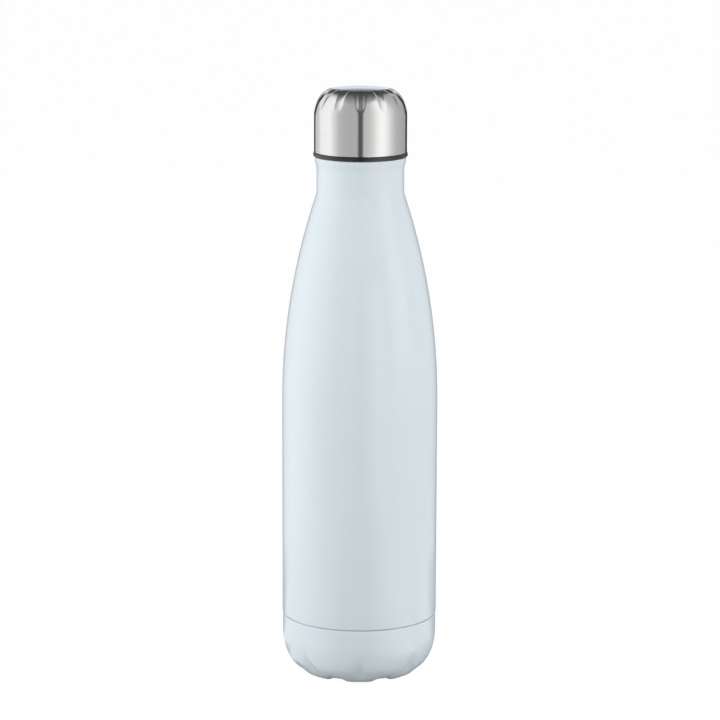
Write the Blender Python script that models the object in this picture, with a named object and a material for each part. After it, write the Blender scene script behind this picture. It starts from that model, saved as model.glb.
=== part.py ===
"""Insulated water bottle: a double-wall vacuum flask with a petalled base and a fluted screw cap.

Metres, +Z up. The bottle stands on z = 0, its axis is the Z axis and its front faces -Y.
Turned pieces come from a half outline of (radius, height) points spun once round the axis.
Sheet-metal pieces are spun as their outer face and given their wall on the inner side.
"""

import math

import bmesh
import bpy
from mathutils import Matrix, Vector

# Bottle as a whole
OVERALL_HEIGHT = 0.2660
BODY_DIAMETER = 0.0700
SHOULDER_HEIGHT = 0.1250
NECK_DIAMETER = 0.0390
NECK_LENGTH = 0.0163
NECK_FILLET = 0.0080
LIP_FLARE = 0.0008
LIP_FLARE_LENGTH = 0.0045
LIP_LAND = 0.0003

# Double wall
SHELL_WALL = 0.0004
LINER_WALL = 0.00035
BODY_VACUUM = 0.0026
NECK_VACUUM = 0.0019
FLOOR_VACUUM = 0.0060
LIP_ROUND = 0.0006
FOIL_THICKNESS = 0.0002
FOIL_MARGIN = 0.0010
LINER_CORNER = 0.0040
LINER_RIM = 0.0050
LINER_CROWN = 0.0025

# Base cup, and the pan that closes the vacuum jacket above it
BASE_HEIGHT = 0.0264
BASE_WALL = 0.0004
BASE_INSET = 0.0002
BASE_ROUND_RUN = 0.0102
BASE_ROUND_HEIGHT = 0.0168
BASE_DISH = 0.0030
SEAM_GAP = 0.0004
SEAM_EDGE = 0.0004
SPIGOT_GRIP = 0.0040
LOBE_COUNT = 8
LOBE_LIFT = 0.0012
LOBE_SPREAD = math.radians(15.5)
LOBE_POWER = 8.0
LOBE_TURN = math.radians(0.6)
FOOT_SPAN = 20.0
PAD_WIDTH = 0.0020
PAD_PRESS = 0.0001
CREASE_DEPTH = 0.0008
CREASE_WIDTH = 0.0042
CREASE_TURN = 33.0
CREASE_SPAN = 17.0
PAN_WALL = 0.0004
PAN_DROP = 0.0045
PAN_CORNER = 0.0025
PAN_RIM = 0.0050
BEAD_DIAMETER = 0.0070
BEAD_THICKNESS = 0.0014
BEAD_MARGIN = 0.0013
DIMPLE_SLOPE = 0.0012
DIMPLE_DEPTH = 0.0025
VENT_DIAMETER = 0.0020
GETTER_DIAMETER = 0.0084
GETTER_THICKNESS = 0.0018
GETTER_EDGE = 0.0003
GETTER_WALL = 0.0004
GETTER_SPACE = 0.0050

# Screw cap
CAP_HEIGHT = 0.0277
CAP_OVERHANG = 0.00115
CAP_WALL = 0.0004
CAP_FLAT_DIAMETER = 0.0234
CAP_SHOULDER_DROP = 0.0117
FLUTE_COUNT = 12
FLUTE_WIDTH = 0.0038
FLUTE_DEPTH = 0.0005
FLUTE_FOOT = 17.5
FLUTE_HEAD = 86.0
FLUTE_RAMP = 15.0
RIM_WEB = 0.0007
RIM_PROUD = 0.00035
RIM_ROUND = 0.0005
PLUG_REACH = 0.0150
PLUG_WALL = 0.0020
PLUG_CHAMFER = 0.0010
COLLAR_WALL = 0.0020
LID_WALL = 0.0016
LID_CHAMFER = 0.0030
SEAL_WIDTH = 0.0030
SEAL_THICKNESS = 0.0012
SEAL_ROUND = 0.0003
FOAM_CHAMFER = 0.0008

# Clearances
SEAT_GAP = 0.0003
THREAD_ROOM = 0.0013

# Facets
SHELL_SEGMENTS = 48
HIDDEN_SEGMENTS = 28
CAP_SEGMENTS = 36
SMALL_SEGMENTS = 24
FLUTE_FACETS = 5
LOBE_FACETS = 8
SHARP_ANGLE = math.radians(28.0)
TOUCH = 1e-6

# Heights that follow from the stack of pieces, from the cap down
CAP_FOOT = OVERALL_HEIGHT - CAP_HEIGHT
CAP_SPRING = OVERALL_HEIGHT - CAP_SHOULDER_DROP
COLLAR_TOP = CAP_SPRING - LID_CHAMFER - SEAT_GAP
RIM_TOP = CAP_FOOT - SEAT_GAP
GROOVE_TOP = RIM_TOP - RIM_WEB
RIM_FOOT = GROOVE_TOP - SEAT_GAP - SEAL_THICKNESS
LIP_TOP = RIM_FOOT - SEAT_GAP
LIP_UNDER = LIP_TOP - LINER_WALL
NECK_START = LIP_TOP - NECK_LENGTH
PLUG_FOOT = LIP_TOP - PLUG_REACH
SEAM = BASE_HEIGHT + SEAM_GAP
BASE_ROUND = min(BASE_ROUND_HEIGHT, BASE_HEIGHT - LOBE_LIFT - SPIGOT_GRIP)
ROUND_TOP = LOBE_LIFT + BASE_ROUND
SPIGOT_FOOT = ROUND_TOP + SEAT_GAP
PAN_FLOOR = SPIGOT_FOOT - PAN_DROP
LINER_FLOOR = PAN_FLOOR + PAN_WALL + FLOOR_VACUUM
LINER_FOOT = LINER_FLOOR + LINER_CORNER

# Radii that follow from the nested pieces, from outside in
BODY_R = BODY_DIAMETER / 2
NECK_R = NECK_DIAMETER / 2
LIP_R = NECK_R + LIP_FLARE
LINER_R = BODY_R - SHELL_WALL - BODY_VACUUM
LINER_NECK_R = NECK_R - SHELL_WALL - NECK_VACUUM
BORE_R = LINER_NECK_R - LINER_WALL
BASE_R = BODY_R - BASE_INSET
ROUND_R = BASE_R - BASE_ROUND_RUN
PAD_R = ROUND_R - PAD_WIDTH
SPIGOT_R = BASE_R - BASE_WALL - SEAT_GAP
PAN_R = SPIGOT_R - SHELL_WALL - SEAT_GAP
DIMPLE_ROOF_R = BEAD_DIAMETER / 2 + BEAD_MARGIN
DIMPLE_R = DIMPLE_ROOF_R + DIMPLE_SLOPE
GETTER_R = GETTER_DIAMETER / 2
GETTER_CUP_R = GETTER_R + SEAT_GAP + GETTER_WALL
GETTER_OFFSET = DIMPLE_R + GETTER_SPACE + GETTER_CUP_R
CAP_R = NECK_R + CAP_OVERHANG
CAP_FLAT_R = CAP_FLAT_DIAMETER / 2
RIM_R = CAP_R + RIM_PROUD
LID_R = CAP_R - CAP_WALL - SEAT_GAP
COLLAR_R = LID_R - LID_WALL - SEAT_GAP
COLLAR_BORE_R = COLLAR_R - COLLAR_WALL
PLUG_R = BORE_R - THREAD_ROOM
PLUG_BORE_R = PLUG_R - PLUG_WALL
SEAL_R = PLUG_R + 2 * SEAT_GAP


def clear_scene():
    for obj in list(bpy.data.objects):
        bpy.data.objects.remove(obj, do_unlink=True)


def surface(name, colour, roughness, metallic):
    material = bpy.data.materials.new(name)
    material.use_nodes = True
    shader = material.node_tree.nodes["Principled BSDF"]
    shader.inputs["Base Color"].default_value = (*colour, 1.0)
    shader.inputs["Roughness"].default_value = roughness
    shader.inputs["Metallic"].default_value = metallic
    return material


def on_ellipse(centre, run, rise, turn):
    """Point of an ellipse about centre, turn degrees up from its outer end."""
    angle = math.radians(turn)
    return (centre[0] + run * math.cos(angle), centre[1] + rise * math.sin(angle))


def arc(centre, run, rise, start, end, steps):
    """Points of an elliptical arc about centre, from start to end in degrees."""
    return [on_ellipse(centre, run, rise, start + (end - start) * i / steps) for i in range(steps + 1)]


def shoulder(body_r, neck_r, fillet, steps):
    """Shoulder outline from the neck down to the straight body, fillet first."""
    drop = body_r - neck_r
    length = NECK_START - SHOULDER_HEIGHT
    sweep = (drop * drop + length * length) / (2 * drop)
    slope = math.asin(length / sweep)
    reach = fillet * math.tan(slope / 2)
    points = arc((neck_r + fillet, NECK_START + reach), fillet, fillet, 180, 180 + math.degrees(slope), 2)
    top = math.degrees(math.asin((points[-1][1] - SHOULDER_HEIGHT) / sweep))
    points += arc((body_r - sweep, SHOULDER_HEIGHT), sweep, sweep, top, 0, steps)[1:]
    return points


def spun(outline, segments, ring):
    """Mesh of an outline spun once round the axis; a ring's outline closes on itself."""
    mesh = bmesh.new()
    verts = [mesh.verts.new((r, 0.0, z)) for r, z in outline]
    edges = [mesh.edges.new(pair) for pair in zip(verts, verts[1:])]
    if ring:
        edges.append(mesh.edges.new((verts[-1], verts[0])))
    bmesh.ops.spin(
        mesh,
        geom=verts + edges,
        cent=(0.0, 0.0, 0.0),
        axis=(0.0, 0.0, 1.0),
        angle=math.tau,
        steps=segments,
        use_merge=True,
    )
    bmesh.ops.remove_doubles(mesh, verts=mesh.verts, dist=TOUCH)
    bmesh.ops.recalc_face_normals(mesh, faces=mesh.faces)
    return mesh


def place(name, mesh, material, location=(0.0, 0.0, 0.0)):
    mesh.normal_update()
    for face in mesh.faces:
        face.smooth = True
    for edge in mesh.edges:
        if edge.is_manifold and edge.calc_face_angle(0.0) > SHARP_ANGLE:
            edge.smooth = False
    data = bpy.data.meshes.new(name)
    mesh.to_mesh(data)
    mesh.free()
    data.materials.append(material)
    obj = bpy.data.objects.new(name, data)
    obj.location = location
    bpy.context.scene.collection.objects.link(obj)
    return obj


def turned(name, outline, segments, material, ring=False, location=(0.0, 0.0, 0.0)):
    """Solid of revolution; without ring, the outline starts and ends on the axis."""
    return place(name, spun(outline, segments, ring), material, location)


def sheet(name, outline, wall, segments, material, form=None, turn=0.0):
    """Sheet-metal piece: outline is its outer face, form presses that face, and wall grows inward."""
    mesh = spun(outline, segments, False)
    middle = Vector((0.0, 0.0, (outline[0][1] + outline[-1][1]) / 2))
    facing = sum((f.calc_center_median() - middle).dot(f.normal) * f.calc_area() for f in mesh.faces)
    if facing < 0:
        bmesh.ops.reverse_faces(mesh, faces=mesh.faces)
    if form:
        for vert in mesh.verts:
            vert.co = form(vert.co)
    bmesh.ops.rotate(mesh, verts=mesh.verts, matrix=Matrix.Rotation(turn, 3, "Z"))
    obj = place(name, mesh, material)
    solid = obj.modifiers.new("Wall", "SOLIDIFY")
    solid.thickness = wall
    solid.offset = -1.0
    solid.use_even_offset = True
    return obj


def from_nearest(point, count):
    """Angle of a point from the nearest of count evenly spaced features, the first of them in front."""
    pitch = math.tau / count
    return (math.atan2(point.y, point.x) + math.pi / 2 + pitch / 2) % pitch - pitch / 2


def square_to(point, across, along):
    """Unit direction square to a round edge, from its outward and upward parts."""
    reach = math.hypot(point.x, point.y)
    return Vector((across * point.x / reach, across * point.y / reach, along)).normalized()


def build_outer_shell():
    flare = [(LIP_R, LIP_UNDER - SEAT_GAP)]
    for i in range(3):
        share = i / 2
        swell = LIP_FLARE * (1 + math.cos(math.pi * share)) / 2
        flare.append((NECK_R + swell, LIP_UNDER - SEAT_GAP - LIP_LAND - LIP_FLARE_LENGTH * share))
    outline = flare + shoulder(BODY_R, NECK_R, NECK_FILLET, 6)
    outline.append((BODY_R, SEAM + SEAM_EDGE))
    outline.append((BODY_R - SEAM_EDGE, SEAM))
    outline.append((SPIGOT_R, SEAM))
    outline.append((SPIGOT_R, SPIGOT_FOOT))
    paint = surface("satin_paint", (0.70, 0.79, 0.83), 0.38, 0.0)
    sheet("outer_shell", outline, SHELL_WALL, SHELL_SEGMENTS, paint)


def press_lobes(point):
    """Presses the feet down out of the round edge, and a pointed crease into it above each foot."""
    reach = math.hypot(point.x, point.y)
    if reach < PAD_R - TOUCH or point.z > ROUND_TOP:
        return point
    off = from_nearest(point, LOBE_COUNT)
    across = max(0.0, (reach - ROUND_R) / BASE_ROUND_RUN)
    down = (ROUND_TOP - point.z) / BASE_ROUND
    turn = math.degrees(math.atan2(down, across))
    foot = math.exp(-(abs(off / LOBE_SPREAD) ** LOBE_POWER) - ((90.0 - turn) / FOOT_SPAN) ** 2)
    crease = math.exp(-((2 * off * reach / CREASE_WIDTH) ** 2) - ((turn - CREASE_TURN) / CREASE_SPAN) ** 2)
    outward = square_to(point, across, -down * BASE_ROUND_RUN / BASE_ROUND)
    moved = point + outward * ((LOBE_LIFT + PAD_PRESS) * foot - CREASE_DEPTH * crease)
    moved.z = max(0.0, moved.z)
    return moved


def build_base_cup():
    outline = [(BASE_R, BASE_HEIGHT)]
    for turn in (0, 18, 34, 50, 66, 79, 90):
        outline.append(on_ellipse((ROUND_R, ROUND_TOP), BASE_ROUND_RUN, -BASE_ROUND, turn))
    outline += arc((0.0, LOBE_LIFT), PAD_R, BASE_DISH, 0, 90, 3)
    paint = surface("base_paint", (0.66, 0.75, 0.79), 0.40, 0.0)
    sheet("base_cup", outline, BASE_WALL, LOBE_COUNT * LOBE_FACETS, paint, press_lobes, LOBE_TURN)


def build_outer_bottom():
    """Pan welded into the spigot: it closes the vacuum jacket and carries the vent in its dimple."""
    outline = [(PAN_R, SPIGOT_FOOT + PAN_RIM)]
    outline += arc((PAN_R - PAN_CORNER, PAN_FLOOR + PAN_CORNER), PAN_CORNER, PAN_CORNER, 0, -90, 3)
    outline.append((DIMPLE_R, PAN_FLOOR))
    outline.append((DIMPLE_ROOF_R, PAN_FLOOR + DIMPLE_DEPTH))
    outline.append((VENT_DIAMETER / 2, PAN_FLOOR + DIMPLE_DEPTH))
    steel = surface("pan_steel", (0.60, 0.60, 0.59), 0.35, 1.0)
    sheet("outer_bottom", outline, PAN_WALL, HIDDEN_SEGMENTS, steel)


def build_vacuum_seal():
    top = PAN_FLOOR + DIMPLE_DEPTH - SEAT_GAP
    radius = BEAD_DIAMETER / 2
    outline = [(0.0, top), (radius, top)]
    outline += arc((0.0, top - BEAD_THICKNESS / 2), radius, BEAD_THICKNESS / 2, 0, -90, 4)
    solder = surface("glass_solder", (0.16, 0.15, 0.13), 0.30, 0.0)
    turned("vacuum_seal", outline, SMALL_SEGMENTS, solder)


def build_getter():
    """Getter pill, which soaks up stray gas in the jacket, and the cup that holds it on the pan."""
    floor = PAN_FLOOR + PAN_WALL + SEAT_GAP
    height = GETTER_THICKNESS + SEAT_GAP + 2 * GETTER_WALL
    cup = [
        (0.0, floor),
        (GETTER_CUP_R, floor),
        (GETTER_CUP_R, floor + height),
        (GETTER_CUP_R - GETTER_WALL, floor + height),
        (GETTER_CUP_R - GETTER_WALL, floor + GETTER_WALL),
        (0.0, floor + GETTER_WALL),
    ]
    seat = floor + GETTER_WALL + SEAT_GAP
    top = seat + GETTER_THICKNESS
    pill = [
        (0.0, top),
        (GETTER_R - GETTER_EDGE, top),
        (GETTER_R, top - GETTER_EDGE),
        (GETTER_R, seat + GETTER_EDGE),
        (GETTER_R - GETTER_EDGE, seat),
        (0.0, seat),
    ]
    spot = (GETTER_OFFSET, 0.0, 0.0)
    nickel = surface("getter_nickel", (0.52, 0.51, 0.48), 0.40, 1.0)
    alloy = surface("getter_alloy", (0.12, 0.12, 0.13), 0.75, 0.2)
    turned("getter_cup", cup, SMALL_SEGMENTS, nickel, location=spot)
    turned("getter_pill", pill, SMALL_SEGMENTS, alloy, location=spot)


def build_inner_liner():
    """Inner vessel with its lip turned out over the top edge of the outer shell."""
    outline = [(LIP_R, LIP_UNDER)]
    outline += arc((LINER_NECK_R + LIP_ROUND, LIP_UNDER - LIP_ROUND), LIP_ROUND, LIP_ROUND, 90, 180, 2)
    outline += shoulder(LINER_R, LINER_NECK_R, NECK_FILLET, 6)
    outline.append((LINER_R, LINER_FOOT))
    steel = surface("liner_steel", (0.62, 0.62, 0.60), 0.28, 1.0)
    sheet("inner_liner", outline, LINER_WALL, HIDDEN_SEGMENTS, steel)


def build_liner_bottom():
    radius = LINER_R - LINER_WALL - SEAT_GAP
    flat_r = radius - LINER_CORNER
    outline = [(radius, LINER_FOOT + LINER_RIM)]
    outline += arc((flat_r, LINER_FOOT), LINER_CORNER, LINER_CORNER, 0, -90, 3)
    for share in (0.5, 0.0):
        outline.append((flat_r * share, LINER_FLOOR + LINER_CROWN * (1 - share * share)))
    steel = surface("liner_floor_steel", (0.62, 0.62, 0.60), 0.30, 1.0)
    sheet("liner_bottom", outline, LINER_WALL, HIDDEN_SEGMENTS, steel)


def build_copper_foil():
    inner = LINER_R + SEAT_GAP
    foot = LINER_FOOT + FOIL_MARGIN
    top = SHOULDER_HEIGHT - FOIL_MARGIN
    outline = [
        (inner, top),
        (inner + FOIL_THICKNESS, top),
        (inner + FOIL_THICKNESS, foot),
        (inner, foot),
    ]
    copper = surface("copper_foil", (0.72, 0.36, 0.22), 0.30, 1.0)
    turned("copper_foil", outline, HIDDEN_SEGMENTS, copper, ring=True)


def press_flutes(point):
    """Presses the round-ended flutes into the shoulder of the cap, square to its surface."""
    reach = math.hypot(point.x, point.y)
    if reach < CAP_FLAT_R + TOUCH or point.z < CAP_SPRING + TOUCH:
        return point
    across = (reach - CAP_FLAT_R) / (CAP_R - CAP_FLAT_R)
    up = (point.z - CAP_SPRING) / CAP_SHOULDER_DROP
    turn = math.degrees(math.atan2(up, across))
    side = 2 * from_nearest(point, FLUTE_COUNT) * reach / FLUTE_WIDTH
    foot = max(0.0, 1 - (turn - FLUTE_FOOT) / FLUTE_RAMP)
    head = max(0.0, 1 - (FLUTE_HEAD - turn) / FLUTE_RAMP)
    depth = FLUTE_DEPTH * max(0.0, 1 - side * side - foot * foot - head * head)
    return point - square_to(point, across, up * (CAP_R - CAP_FLAT_R) / CAP_SHOULDER_DROP) * depth


def build_cap_shell():
    outline = [(CAP_R, CAP_FOOT)]
    for turn in (0, 16, 28, 40, 53, 66, 79, 90):
        outline.append(on_ellipse((CAP_FLAT_R, CAP_SPRING), CAP_R - CAP_FLAT_R, CAP_SHOULDER_DROP, turn))
    outline.append((0.0, OVERALL_HEIGHT))
    steel = surface("brushed_cap_steel", (0.66, 0.66, 0.65), 0.26, 1.0)
    sheet("cap_shell", outline, CAP_WALL, FLUTE_COUNT * FLUTE_FACETS, steel, press_flutes)


def build_cap_inner_lid():
    """Moulded insert under the steel shell; its skirt takes the collar of the plug."""
    inset = FLUTE_DEPTH + CAP_WALL + SEAT_GAP
    run = CAP_R - CAP_FLAT_R - inset
    rise = CAP_SHOULDER_DROP - inset
    centre = (CAP_FLAT_R, CAP_SPRING)
    outline = [(0.0, CAP_SPRING + rise - LID_WALL)]
    outline += arc(centre, run - LID_WALL, rise - LID_WALL, 90, 0, 3)
    outline.append((LID_R - LID_WALL, CAP_SPRING - LID_CHAMFER))
    outline.append((LID_R - LID_WALL, CAP_FOOT))
    outline.append((LID_R, CAP_FOOT))
    outline.append((LID_R, CAP_SPRING - LID_CHAMFER))
    outline += arc(centre, run, rise, 0, 90, 3)
    outline.append((0.0, CAP_SPRING + rise))
    plastic = surface("lid_plastic", (0.03, 0.03, 0.03), 0.50, 0.0)
    turned("cap_inner_lid", outline, HIDDEN_SEGMENTS, plastic)


def build_cap_foam():
    foot = PLUG_FOOT + PLUG_WALL + SEAT_GAP
    step = RIM_TOP + SEAT_GAP
    lower = PLUG_BORE_R - SEAT_GAP
    upper = COLLAR_BORE_R - SEAT_GAP
    outline = [
        (0.0, COLLAR_TOP),
        (upper - FOAM_CHAMFER, COLLAR_TOP),
        (upper, COLLAR_TOP - FOAM_CHAMFER),
        (upper, step),
        (lower, step),
        (lower, foot + FOAM_CHAMFER),
        (lower - FOAM_CHAMFER, foot),
        (0.0, foot),
    ]
    foam = surface("foam", (0.86, 0.86, 0.83), 0.90, 0.0)
    turned("cap_foam", outline, HIDDEN_SEGMENTS, foam)


def build_cap_plug():
    """Threaded plug with the black rim, a groove for the seal and a collar for the inner lid."""
    floor = PLUG_FOOT + PLUG_WALL
    groove_in = SEAL_R - SEAT_GAP
    groove_out = SEAL_R + SEAL_WIDTH + SEAT_GAP
    outline = [
        (0.0, floor),
        (PLUG_BORE_R, floor),
        (PLUG_BORE_R, RIM_TOP),
        (COLLAR_BORE_R, RIM_TOP),
        (COLLAR_BORE_R, COLLAR_TOP),
        (COLLAR_R, COLLAR_TOP),
        (COLLAR_R, RIM_TOP),
        (RIM_R - RIM_ROUND, RIM_TOP),
        (RIM_R, RIM_TOP - RIM_ROUND),
        (RIM_R, RIM_FOOT + RIM_ROUND),
        (RIM_R - RIM_ROUND, RIM_FOOT),
        (groove_out, RIM_FOOT),
        (groove_out, GROOVE_TOP),
        (groove_in, GROOVE_TOP),
        (groove_in, RIM_FOOT),
        (PLUG_R, RIM_FOOT),
        (PLUG_R, PLUG_FOOT + PLUG_CHAMFER),
        (PLUG_R - PLUG_CHAMFER, PLUG_FOOT),
        (0.0, PLUG_FOOT),
    ]
    plastic = surface("plug_plastic", (0.025, 0.025, 0.027), 0.42, 0.0)
    turned("cap_plug", outline, CAP_SEGMENTS, plastic)


def build_cap_seal():
    foot = LIP_TOP + SEAT_GAP
    top = foot + SEAL_THICKNESS
    outer = SEAL_R + SEAL_WIDTH
    outline = [
        (SEAL_R, foot + SEAL_ROUND),
        (SEAL_R + SEAL_ROUND, foot),
        (outer - SEAL_ROUND, foot),
        (outer, foot + SEAL_ROUND),
        (outer, top - SEAL_ROUND),
        (outer - SEAL_ROUND, top),
        (SEAL_R + SEAL_ROUND, top),
        (SEAL_R, top - SEAL_ROUND),
    ]
    silicone = surface("seal_silicone", (0.78, 0.78, 0.76), 0.55, 0.0)
    turned("cap_seal", outline, CAP_SEGMENTS, silicone, ring=True)


clear_scene()
build_outer_shell()
build_base_cup()
build_outer_bottom()
build_vacuum_seal()
build_getter()
build_inner_liner()
build_liner_bottom()
build_copper_foil()
build_cap_shell()
build_cap_inner_lid()
build_cap_foam()
build_cap_plug()
build_cap_seal()
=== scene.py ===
"""Dresses the insulated water bottle: lacquered steel body, petalled base cup, brushed fluted cap.

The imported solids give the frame. Each operator below makes one piece, or one group of like pieces,
in the place that its solid holds, and gives it its finish. Metres, +Z up, the front faces -Y.
"""

from math import asin, cos, degrees, pi, radians, sin, tan, tau
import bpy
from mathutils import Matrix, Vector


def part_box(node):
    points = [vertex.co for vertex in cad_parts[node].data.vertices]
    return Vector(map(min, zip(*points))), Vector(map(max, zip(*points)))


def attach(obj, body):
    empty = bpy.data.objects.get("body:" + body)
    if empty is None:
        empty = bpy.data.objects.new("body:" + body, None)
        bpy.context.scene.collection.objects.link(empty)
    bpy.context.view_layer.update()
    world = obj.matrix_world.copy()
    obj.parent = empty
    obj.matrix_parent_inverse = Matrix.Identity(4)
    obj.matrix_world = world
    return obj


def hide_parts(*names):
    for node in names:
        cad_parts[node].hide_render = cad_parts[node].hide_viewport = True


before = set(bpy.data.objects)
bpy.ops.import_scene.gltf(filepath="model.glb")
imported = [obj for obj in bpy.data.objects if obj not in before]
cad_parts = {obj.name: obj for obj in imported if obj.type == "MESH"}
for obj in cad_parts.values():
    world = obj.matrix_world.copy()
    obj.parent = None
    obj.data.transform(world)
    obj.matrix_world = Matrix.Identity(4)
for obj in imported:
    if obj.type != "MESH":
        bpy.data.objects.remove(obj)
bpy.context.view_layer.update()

from types import SimpleNamespace

import bmesh
import bpy
from bpy.props import FloatProperty, FloatVectorProperty, IntProperty, PointerProperty
from bpy.types import Operator, Panel, PropertyGroup
from mathutils import Euler, Matrix, Vector

bl_info = {
    "name": "Insulated Water Bottle",
    "version": (1, 0, 0),
    "blender": (4, 5, 0),
    "location": "3D View > Sidebar > Bottle",
    "description": "Finished pieces of a double-wall water bottle, and the studio it stands in",
    "category": "Object",
}

shell_low, shell_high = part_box("outer_shell")
base_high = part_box("base_cup")[1]
cap_low, cap_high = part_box("cap_shell")
plug_low, plug_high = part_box("cap_plug")
liner_low, liner_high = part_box("inner_liner")
seal_low, seal_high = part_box("cap_seal")

# Faces round each turned piece, or round one foot or flute, and the least angle of a sharp edge
BODY_SIDES = 192
LOBE_SIDES = 36
FLUTE_SIDES = 56
PLUG_SIDES = 192
SEAL_SIDES = 128
LINER_SIDES = 160
SHARP_EDGE = 35.0

# Lengths below which a point counts as on the axis, on a threaded wall or on a foot's flat
ON_AXIS = 1e-7
WALL_TOUCH = 2e-5
PAD_SLACK = 1e-5

# Least values to divide by: in the rules, and the radius in the finishes
LEAST_DIVISOR = 1e-6
LEAST_REACH = 1e-5

# Inputs of a colour mix: the share, and the two colours
MIX_INPUTS = (0, 6, 7)

# Steps of the neck's flare and the cap's crown, and the crown's edge in degrees up the shoulder
FLARE_STEPS = 16
CROWN_STEPS = 8
CROWN_EDGE = 88.5

# Fineness of the cap's brush lines, and depth and soft edge of the polish on its top
CAP_GRAIN = 900.0
POLISH_DEPTH = 0.0007
POLISH_EDGE = 0.0004

# How fast the lines of drawn steel change along the draw
DRAW_STRETCH = 12.0


def number(name, description, default, **limits):
    return FloatProperty(name=name, description=description, default=default, **limits)


def length(name, description, default):
    return number(name, description, default, min=0.0, precision=5, unit="LENGTH")


def turn(name, description, default):
    return number(name, description, radians(default), subtype="ANGLE")


def share(name, description, default):
    return number(name, description, default, min=0.0, max=1.0, subtype="FACTOR")


def colour(name, description, default):
    return FloatVectorProperty(
        name=name, description=description, default=default, size=3, min=0.0, max=1.0, subtype="COLOR"
    )


class BodySizes(PropertyGroup):
    """Sizes of the lacquered outer body."""

    diameter: length("Diameter", "Across the straight part of the body", 2 * shell_high.x)
    top: length("Top", "Height of the upper edge, which wraps the liner's lip", liner_high.z - 0.00005)
    foot: length("Foot", "Height of the lower edge, inside the base cup", shell_low.z)
    wall: length("Wall", "Thickness of the outer steel", 0.0004)
    shoulder: length("Shoulder", "Height where the shoulder starts to draw in", 0.1250)
    neck_diameter: length("Neck diameter", "Across the straight neck", 0.0390)
    neck_start: length("Neck start", "Height where shoulder and neck would meet without a fillet", 0.2192)
    neck_fillet: length("Neck fillet", "Radius between shoulder and neck", 0.0080)
    flare: length("Flare", "How far the neck opens out under the lip", 0.0008)
    flare_length: length("Flare length", "Height over which the neck opens out", 0.0045)
    land: length("Land", "Straight band above the flare", 0.0009)
    seam: length("Seam", "Height of the body's visible lower edge", 0.0268)
    seam_round: length("Seam round", "Radius of the body's visible lower edge", 0.0004)
    spigot_diameter: length("Spigot diameter", "Across the step that the base cup slides over", 0.0682)


class BaseSizes(PropertyGroup):
    """Sizes of the petalled base cup."""

    diameter: length("Diameter", "Across the cup's straight wall", 0.0696)
    height: length("Height", "Height of the cup's rim", base_high.z)
    wall: length("Wall", "Thickness of the cup's steel", 0.0004)
    rim_round: length("Rim round", "Radius on the outer edge of the rim", 0.00016)
    round_run: length("Round run", "Width of the round lower edge", 0.0102)
    round_height: length("Round height", "Height of the round lower edge", 0.0168)
    dish: length("Dish", "Rise of the underside inside the feet", 0.0030)
    lobes: IntProperty(name="Lobes", description="Feet pressed round the edge", default=8, min=3)
    lobe_lift: length("Lobe lift", "Height of the edge between two feet", 0.0012)
    lobe_spread: turn("Lobe spread", "Half angle that a foot takes", 15.5)
    lobe_power: number("Lobe power", "How steeply a foot's sides rise", 8.0, min=2.0)
    lobe_turn: turn("Lobe turn", "Angle of the front foot from the front", 0.6)
    foot_span: turn("Foot span", "How far up the round edge a foot reaches", 20.0)
    pad_width: length("Pad width", "Width of the flat that touches the table", 0.0020)
    pad_press: length("Pad press", "Extra press that flattens the pads", 0.0001)
    crease_depth: length("Crease depth", "Depth of the pointed crease above a foot", 0.0011)
    crease_width: length("Crease width", "Width of the pointed crease", 0.0054)
    crease_turn: turn("Crease turn", "Place of the crease on the round edge", 42.0)
    crease_span: turn("Crease span", "How far along the round edge the crease reaches", 23.0)


class CapSizes(PropertyGroup):
    """Sizes of the brushed steel shell of the screw cap."""

    diameter: length("Diameter", "Across the cap's straight wall", 2 * cap_high.x)
    foot: length("Foot", "Height of the lower edge, down in the black rim's seat", cap_low.z - 0.00075)
    top: length("Top", "Height of the flat top", cap_high.z)
    wall: length("Wall", "Thickness of the cap's steel", 0.0004)
    hem_round: length("Hem round", "Radius of the rolled lower edge", 0.00032)
    flat_diameter: length("Flat diameter", "Across the flat top", 0.0234)
    shoulder_drop: length("Shoulder drop", "Height of the round shoulder", 0.0117)
    flutes: IntProperty(name="Flutes", description="Scoops round the shoulder", default=12, min=3)
    crown: length("Crown", "How far the middle of the top stands above its edge", 0.0002)
    flute_width: length("Flute width", "Across one scoop", 0.0036)
    flute_depth: length("Flute depth", "Depth of one scoop at its upper end", 0.0005)
    flute_power: number("Flute power", "How flat a scoop's bottom is", 2.6, min=1.0)
    flute_share: share("Flute share", "Share of the depth that a scoop's lower end has", 0.45)
    flute_foot: turn("Flute foot", "Place of a scoop's round lower end on the shoulder", 17.5)
    flute_head: turn("Flute head", "Place of a scoop's upper end on the shoulder", 86.0)
    flute_ramp: turn("Flute ramp", "Angle over which a scoop's ends run out", 15.0)
    flute_edge: share("Flute edge", "How softly a scoop's edge is rounded", 0.26)


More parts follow.
